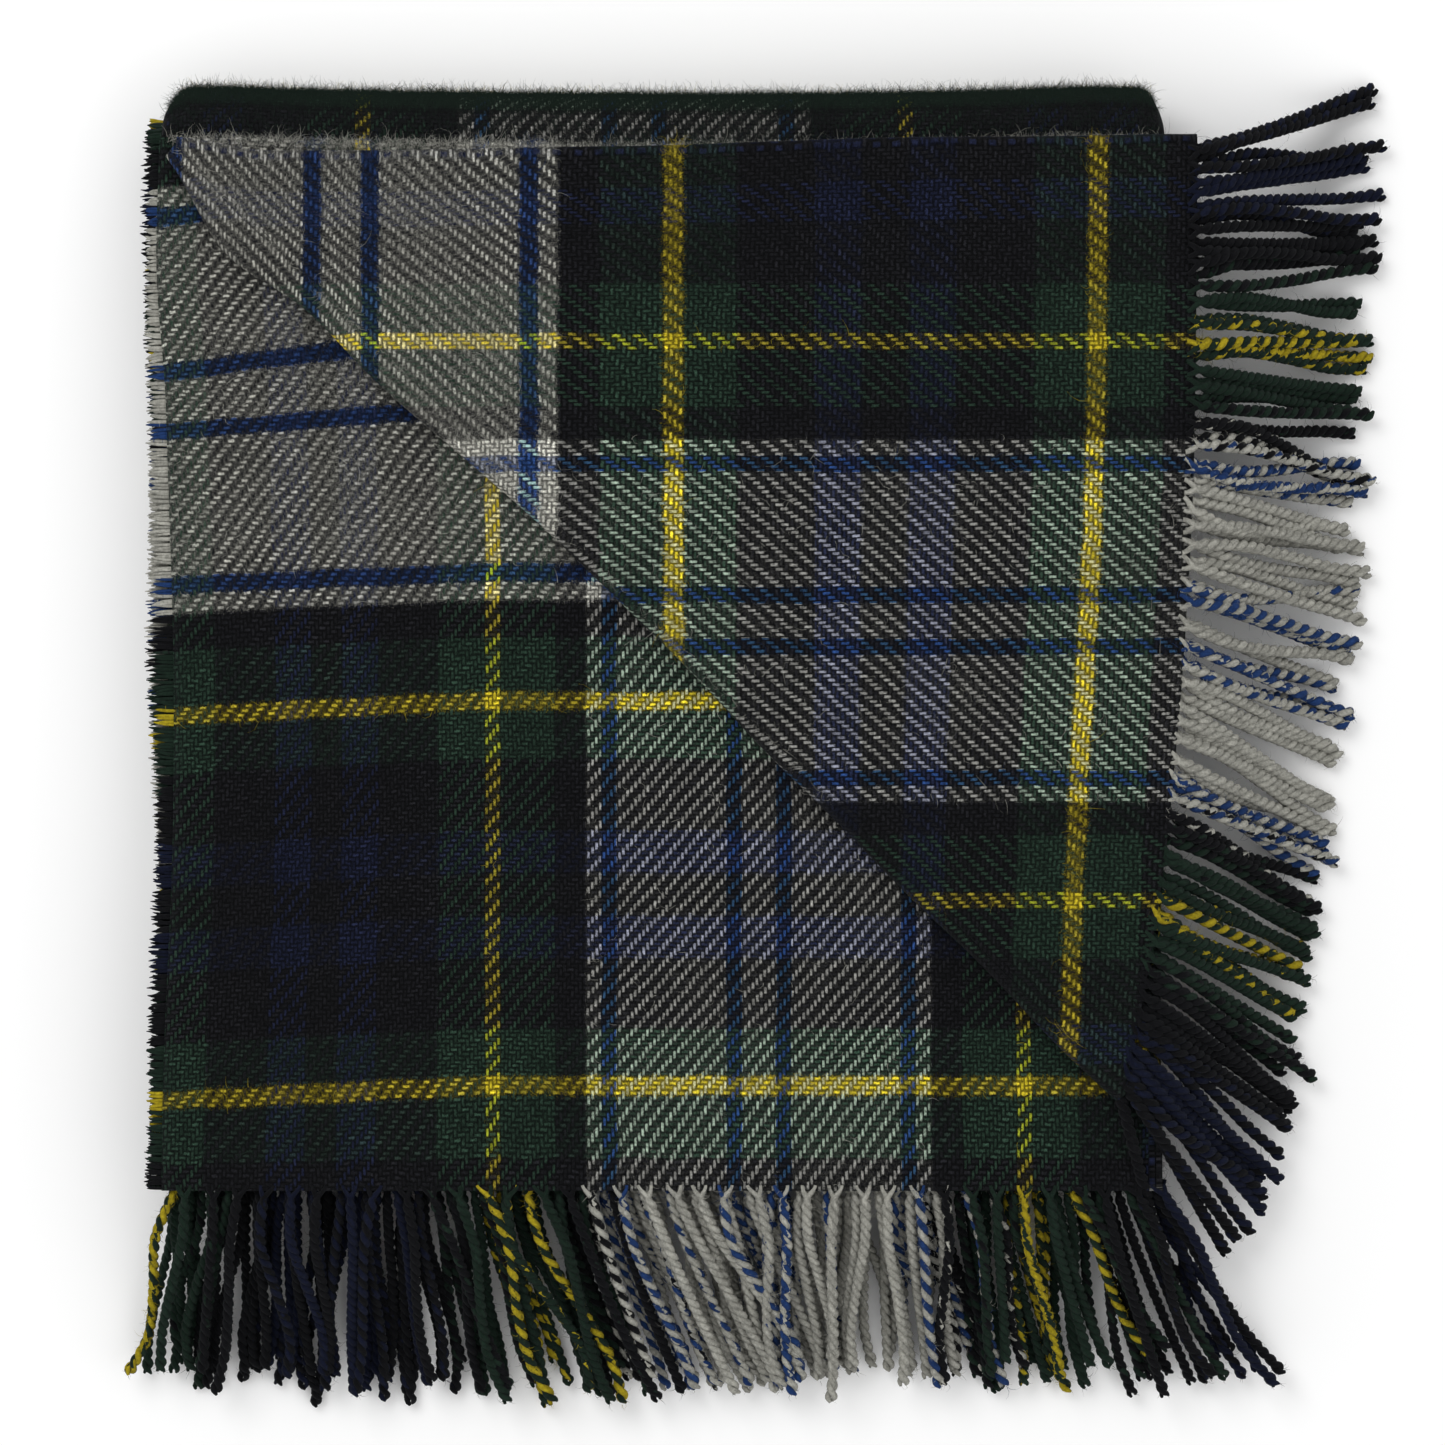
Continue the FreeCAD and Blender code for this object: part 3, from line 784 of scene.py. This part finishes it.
# ---- materials ----
class Nodes:
    """Short calls for building one material's nodes."""

    def __init__(self, name):
        self.material = bpy.data.materials.new(name)
        self.material.use_nodes = True
        self.tree = self.material.node_tree
        self.shader = self.tree.nodes["Principled BSDF"]

    def put(self, socket, value):
        if isinstance(value, bpy.types.NodeSocket):
            self.tree.links.new(value, socket)
        else:
            socket.default_value = value

    def math(self, operation, a, b=0.0, c=0.0):
        node = self.tree.nodes.new("ShaderNodeMath")
        node.operation = operation
        for socket, value in zip(node.inputs, (a, b, c)):
            self.put(socket, value)
        return node.outputs[0]

    def steps(self, value, low, high):
        node = self.tree.nodes.new("ShaderNodeMapRange")
        node.interpolation_type = "SMOOTHSTEP"
        self.put(node.inputs["Value"], value)
        node.inputs["From Min"].default_value = low
        node.inputs["From Max"].default_value = high
        return node.outputs["Result"]

    def noise(self, vector, scale, detail=2.0, rough=0.5):
        node = self.tree.nodes.new("ShaderNodeTexNoise")
        self.put(node.inputs["Vector"], vector)
        node.inputs["Scale"].default_value = scale
        node.inputs["Detail"].default_value = detail
        node.inputs["Roughness"].default_value = rough
        return node.outputs["Fac"]

    def random(self, value):
        node = self.tree.nodes.new("ShaderNodeTexWhiteNoise")
        node.noise_dimensions = "1D"
        self.put(node.inputs["W"], value)
        return node.outputs["Value"]

    def vector(self, x, y, z=0.0):
        node = self.tree.nodes.new("ShaderNodeCombineXYZ")
        for socket, value in zip(node.inputs, (x, y, z)):
            self.put(socket, value)
        return node.outputs[0]

    def mix(self, factor, a, b, blend="MIX"):
        node = self.tree.nodes.new("ShaderNodeMix")
        node.data_type = "RGBA"
        node.blend_type = blend
        self.put(node.inputs["Factor"], factor)
        for socket, value in ((node.inputs["A"], a), (node.inputs["B"], b)):
            self.put(socket, value)
        return node.outputs["Result"]

    def threads(self):
        node = self.tree.nodes.new("ShaderNodeUVMap")
        node.uv_map = "threads"
        split = self.tree.nodes.new("ShaderNodeSeparateXYZ")
        self.put(split.inputs[0], node.outputs[0])
        return node.outputs[0], split.outputs["X"], split.outputs["Y"]

    def sett(self, thread, sett):
        """The yarn colour of a thread number, mirrored about the sett's two middles."""
        half = sum(count for count, name in sett)
        turned = self.math("PINGPONG", thread, half)
        ramp = self.tree.nodes.new("ShaderNodeValToRGB")
        ramp.color_ramp.interpolation = "CONSTANT"
        stops = ramp.color_ramp.elements
        at = 0
        for index, (count, name) in enumerate(sett):
            if index == 0:
                stop = stops[0]
            elif index == 1:
                stop = stops[1]
                stop.position = at / half
            else:
                stop = stops.new(at / half)
            stop.color = (*YARNS[name], 1)
            at += count
        self.put(ramp.inputs["Fac"], self.math("DIVIDE", turned, half))
        return ramp.outputs["Color"]

    def scale_colour(self, colour, value):
        node = self.tree.nodes.new("ShaderNodeVectorMath")
        node.operation = "SCALE"
        self.put(node.inputs[0], colour)
        self.put(node.inputs["Scale"], value)
        return node.outputs[0]

    def bump(self, height, strength, distance):
        node = self.tree.nodes.new("ShaderNodeBump")
        node.inputs["Strength"].default_value = strength
        node.inputs["Distance"].default_value = distance
        self.put(node.inputs["Height"], height)
        return node.outputs["Normal"]

    def finish(self, colour, normal):
        self.put(self.shader.inputs["Base Color"], colour)
        self.put(self.shader.inputs["Normal"], normal)
        self.shader.inputs["Roughness"].default_value = 1.0
        self.shader.inputs["Specular IOR Level"].default_value = 0.05
        self.shader.inputs["Sheen Weight"].default_value = 0.03
        self.shader.inputs["Sheen Roughness"].default_value = 0.6
        self.shader.inputs["Sheen Tint"].default_value = (0.85, 0.9, 0.95, 1)
        return self.material


def cloth_material():
    """Brushed 2/2 twill: crisp floats of warp over softer, napped floats of weft."""
    n = Nodes("wool_cloth")
    uv, end, pick = n.threads()
    turned = n.vector(pick, end, 9.0)
    # the yarns wander a little, and the nap blurs their edges
    sway = n.math("MULTIPLY_ADD", n.noise(uv, 0.09, 2), 1.3, -0.65)
    sway_too = n.math("MULTIPLY_ADD", n.noise(turned, 0.11, 2), 1.3, -0.65)
    fur = n.math("SUBTRACT", n.noise(uv, 2.3, 3, 0.7), 0.5)
    fur_too = n.math("SUBTRACT", n.noise(turned, 2.3, 3, 0.7), 0.5)
    u = n.math("ADD", end, n.math("MULTIPLY_ADD", fur, 0.5, sway))
    v = n.math("ADD", pick, n.math("MULTIPLY_ADD", fur_too, 0.8, sway_too))
    warp = n.math("FLOOR", u)
    weft = n.math("FLOOR", v)
    # height of the warp end and of the weft pick that cross here
    turn = 2 * math.pi
    warp_phase = n.math("DIVIDE", n.math("SUBTRACT", n.math("ADD", warp, 1.0), v), 4.0)
    weft_phase = n.math("DIVIDE", n.math("SUBTRACT", u, weft), 4.0)
    warp_wave = n.math("SINE", n.math("MULTIPLY", warp_phase, turn))
    weft_wave = n.math("SINE", n.math("MULTIPLY", weft_phase, -turn))
    warp_side = n.math("ABSOLUTE", n.math("SUBTRACT", n.math("FRACT", u), 0.5))
    weft_side = n.math("ABSOLUTE", n.math("SUBTRACT", n.math("FRACT", v), 0.5))
    # where a float lies on top: it narrows and fades at its sides and ends into the painted shade of the gaps
    # between yarns
    warp_over = n.math("MULTIPLY", n.steps(warp_wave, 0.1, 0.7), n.steps(warp_side, 0.42, 0.20))
    weft_over = n.math("MULTIPLY", n.steps(weft_wave, -0.15, 0.6), n.steps(weft_side, 0.48, 0.22))
    # the middle of each weft float, painted lighter below as the lit top of a rounded yarn
    weft_lit_middle = n.math("MULTIPLY", n.steps(weft_wave, 0.0, 0.6), n.steps(weft_side, 0.40, 0.12))
    brushed = n.steps(n.noise(uv, 0.022, 2), 0.35, 0.65)
    # each yarn and each float has its own tone, with streaks of fibre along it; the middle of each weft float
    # is painted lighter and its sides darker, painted light and shade on a rounded yarn
    warp_float = n.random(n.math("MULTIPLY_ADD", warp, 7.31, n.math("FLOOR", warp_phase)))
    weft_float = n.random(n.math("MULTIPLY_ADD", weft, 5.17, n.math("FLOOR", weft_phase)))
    warp_streak = n.noise(n.vector(n.math("MULTIPLY", u, 4.5), n.math("MULTIPLY", v, 0.7)), 1.4, 3, 0.7)
    weft_streak = n.noise(n.vector(n.math("MULTIPLY", u, 0.7), n.math("MULTIPLY", v, 4.5), 5.0), 1.4, 3, 0.7)
    warp_tone = n.math("MULTIPLY_ADD", warp_float, 0.60, n.math("MULTIPLY_ADD", warp_streak, 1.1, 0.28))
    lit_middle_tone = n.math("MULTIPLY", weft_lit_middle, n.math("MULTIPLY_ADD", weft_float, 1.5, 0.75))
    lit_middle_tone = n.math("MULTIPLY", lit_middle_tone, n.math("MULTIPLY_ADD", brushed, -0.45, 1.0))
    weft_tone = n.math("ADD", lit_middle_tone, n.math("MULTIPLY_ADD", weft_streak, 1.1, -0.29))
    warp_colour = n.sett(u, WARP_SETT)
    weft_colour = n.sett(v, WEFT_SETT)
    # raised weft fibres fill the gaps, and dark fibres lie over pale ones; the gaps are painted shade, about
    # a quarter as bright as the nap
    weft_nap = n.sett(n.math("MULTIPLY_ADD", fur_too, 4.5, v), WEFT_SETT)
    warp_nap = n.sett(n.math("MULTIPLY_ADD", fur, 2.0, u), WARP_SETT)
    shaded_gap = n.scale_colour(n.mix(0.72, weft_nap, n.mix(1.0, weft_nap, warp_nap, "DARKEN")), 0.24)
    weft_seen = n.mix(0.58, weft_colour, n.mix(1.0, weft_colour, warp_colour, "DARKEN"))
    colour = n.mix(weft_over, shaded_gap, n.scale_colour(weft_seen, weft_tone))
    # fine fibres of the weft lie over the warp's floats, and the light shines through them
    over_warp = n.mix(1.0, warp_colour, n.scale_colour(weft_nap, 8.0), "DARKEN")
    warp_seen = n.mix(0.62, warp_colour, over_warp)
    colour = n.mix(warp_over, colour, n.scale_colour(warp_seen, warp_tone))
    # brushing drags single fibres across the floats, more in some places
    drawn = n.vector(n.math("MULTIPLY_ADD", fur, 0.8, end), n.math("MULTIPLY", pick, 0.55), 2.0)
    drag = n.noise(drawn, 1.7, 4, 0.75)
    ridge = n.math("ABSOLUTE", n.math("SUBTRACT", drag, 0.5))
    hair = n.math("MULTIPLY", n.steps(ridge, 0.045, 0.0), n.math("MULTIPLY_ADD", brushed, 0.3, 0.18))
    hair_tone = n.math("MULTIPLY_ADD", weft_streak, 1.1, 0.2)
    colour = n.mix(hair, colour, n.scale_colour(n.mix(0.25, weft_nap, warp_nap), hair_tone))
    # grain of crossing fibres over everything, with a few that catch the light
    grain = n.math("MULTIPLY_ADD", n.steps(n.noise(uv, 0.9, 5, 0.85), 0.34, 0.66), 1.3, 0.35)
    drawn = n.vector(n.math("MULTIPLY", end, 0.8), n.math("MULTIPLY_ADD", fur, 0.8, pick), 7.0)
    glint = n.noise(drawn, 1.3, 4, 0.8)
    glint = n.steps(n.math("ABSOLUTE", n.math("SUBTRACT", glint, 0.5)), 0.03, 0.0)
    grain = n.math("MULTIPLY_ADD", glint, 1.2, grain)
    blotch = n.math("MULTIPLY_ADD", n.noise(uv, 0.035, 3), 0.36, 0.82)
    colour = n.scale_colour(colour, n.math("MULTIPLY", grain, blotch))
    lift = n.math("MAXIMUM", warp_over, n.math("MULTIPLY", weft_over, 0.8))
    height = n.math("ADD", n.noise(uv, 3.4, 3, 0.75), lift)
    return n.finish(colour, n.bump(height, 0.6, 0.0006))


def yarn_material(name, sett, use_pick):
    """Loose yarn: fringe strands take the warp's colours, frayed ends the weft's."""
    n = Nodes(name)
    uv, end, pick = n.threads()
    thread, along = (pick, end) if use_pick else (end, pick)
    fur = n.math("SUBTRACT", n.noise(uv, 2.2, 3, 0.7), 0.5)
    colour = n.sett(n.math("ADD", thread, fur), sett)
    tone = n.math("MULTIPLY_ADD", n.random(n.math("FLOOR", thread)), 0.3, 0.70)
    place = n.tree.nodes.new("ShaderNodeTexCoord").outputs["Object"]
    strands = n.noise(place, 900.0, 3, 0.75)
    tone = n.math("MULTIPLY", tone, n.math("MULTIPLY_ADD", strands, 1.5, 0.2))
    streak = n.noise(n.vector(n.math("MULTIPLY", thread, 3.5), n.math("MULTIPLY", along, 0.7)), 1.2, 3, 0.7)
    colour = n.scale_colour(colour, n.math("MULTIPLY", tone, n.math("MULTIPLY_ADD", streak, 0.8, 0.6)))
    return n.finish(colour, n.bump(n.math("ADD", streak, strands), 0.7, 0.0005))


def fuzz_material():
    """Fine fibres in the colours of the yarns beneath them."""
    n = Nodes("wool_nap")
    uv, end, pick = n.threads()
    choice = n.random(n.math("MULTIPLY_ADD", pick, 7.3, end))
    colour = n.mix(n.steps(choice, 0.74, 0.76), n.sett(pick, WEFT_SETT), n.sett(end, WARP_SETT))
    colour = n.mix(0.02, colour, (0.30, 0.32, 0.31, 1))
    colour = n.scale_colour(colour, n.math("MULTIPLY_ADD", n.noise(uv, 3.0, 2), 0.9, 0.25))
    return n.finish(colour, n.bump(n.noise(uv, 8.0, 2), 0.2, 0.0002))


def fringe_fuzz_material():
    """Fibres of the fringe: warp yarn only."""
    n = Nodes("wool_fringe_nap")
    uv, end, pick = n.threads()
    colour = n.scale_colour(n.sett(end, WARP_SETT), n.math("MULTIPLY_ADD", n.noise(uv, 3.0, 2), 0.9, 0.25))
    return n.finish(colour, n.bump(n.noise(uv, 8.0, 2), 0.2, 0.0002))


# ---- build ----
CLOTH = cloth_material()
FRINGE = yarn_material("wool_fringe", WARP_SETT, False)
FRAY = yarn_material("wool_fray", WEFT_SETT, True)
NAP = fuzz_material()
FRINGE_NAP = fringe_fuzz_material()


def place(obj, body, slot, material):
    """Give a piece its material, and let it ride on a body if one is given; slot is not used."""
    obj.data.materials.append(material)
    if body:
        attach(obj, body)
    return obj


stack_cloth = place(folded_cloth(), "stack", "wool_cloth", CLOTH)
corner_cloth = place(turned_corner(), "turned_corner", "wool_cloth", CLOTH)
crease_cloth = place(crease(), None, "wool_cloth", CLOTH)
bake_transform(crease_cloth)

near_rows = []
for number in range(6):
    rings_and_sides = (125, 6) if number > 3 else (90, 5)
    cords = near_fringe(number, (8.5 + number) * PITCH, rings_and_sides)
    near_rows.append(place(cords, "stack", "wool_fringe", FRINGE))
corner_rows = []
for number, level in enumerate((CORNER_INNER_Z, CORNER_OUTER_Z)):
    corner_rows.append(place(corner_fringe(number, level), None, "wool_fringe", FRINGE))
FIBRES_PER_CORD = 150
fibred = ["near_fringe_cords_%d" % row for row in range(3, 7)]
near_nap = place(cord_fuzz("near_fringe_fuzz", fibred, FIBRES_PER_CORD), "stack", "wool_fringe", FRINGE_NAP)
fibred = [cords.name for cords in corner_rows]
corner_fringe_nap = place(cord_fuzz("corner_fringe_fuzz", fibred, FIBRES_PER_CORD), None, "wool_fringe",
                          FRINGE_NAP)
for cords in (*corner_rows, corner_fringe_nap):
    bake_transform(cords)
fray = place(frayed_selvedges(), "stack", "wool_fray", FRAY)
stack_nap = place(stack_fuzz(), "stack", "wool_cloth", NAP)
corner_nap = place(corner_fuzz(), "turned_corner", "wool_cloth", NAP)

# hide the frame's nodes that the pieces above stand in for
node_names = list(frame["nodes"])
FOLDED = ("ply_", "far_roll", "near_roll", "right_fold", "left_fold")
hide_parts(*[name for name in node_names if name.startswith(FOLDED)])
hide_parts("corner_inner_ply", "corner_outer_ply", "corner_edge_fold")
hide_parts("crease_roll")
for number, cords in enumerate(near_rows):
    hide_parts("near_fringe_%d" % (number + 1))
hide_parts("corner_fringe_lower")
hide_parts("corner_fringe_upper")
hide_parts(*[name for name in node_names if name.startswith("selvedge_fray")])

# ---- floor, light and camera ----
FLOOR_SIZE = 6.0
floor_mesh = bpy.data.meshes.new("floor")
signs = ((-1, -1), (1, -1), (1, 1), (-1, 1))
floor_mesh.from_pydata([(FLOOR_SIZE * a, FLOOR_SIZE * b, 0) for a, b in signs], [], [(0, 1, 2, 3)])
floor = bpy.data.objects.new("floor", floor_mesh)
bpy.context.scene.collection.objects.link(floor)
paper = bpy.data.materials.new("paper")
paper.use_nodes = True
paper_shader = paper.node_tree.nodes["Principled BSDF"]
paper_shader.inputs["Base Color"].default_value = (0.93, 0.93, 0.93, 1)
paper_shader.inputs["Roughness"].default_value = 0.9
floor_mesh.materials.append(paper)

world = bpy.data.worlds.new("studio")
bpy.context.scene.world = world
world.use_nodes = True
world.node_tree.nodes["Background"].inputs["Color"].default_value = (1.0, 1.0, 1.0, 1)
world.node_tree.nodes["Background"].inputs["Strength"].default_value = 0.78


def area_light(name, position, size, power):
    light = bpy.data.lights.new(name, "AREA")
    light.size = size
    light.energy = power
    obj = bpy.data.objects.new(name, light)
    obj.location = position
    obj.rotation_euler = (-Vector(position)).to_track_quat("-Z", "Y").to_euler()
    bpy.context.scene.collection.objects.link(obj)


area_light("key", (-0.9, 1.0, 1.7), 1.2, 18)
area_light("fill", (1.3, -0.9, 1.5), 1.6, 7)

# straight down over the middle of the throw and its fringes
FRAME_WIDTH = 0.5058
CAMERA_HEIGHT = 1.5
SENSOR = 36.0
camera_data = bpy.data.cameras.new("camera")
camera_data.sensor_width = SENSOR
camera_data.lens = SENSOR * CAMERA_HEIGHT / FRAME_WIDTH
camera = bpy.data.objects.new("camera", camera_data)
camera.location = (0.021, -0.0285, CAMERA_HEIGHT + CREASE_Z * MM)
bpy.context.scene.collection.objects.link(camera)
bpy.context.scene.camera = camera
bpy.context.scene.view_settings.view_transform = "Standard"
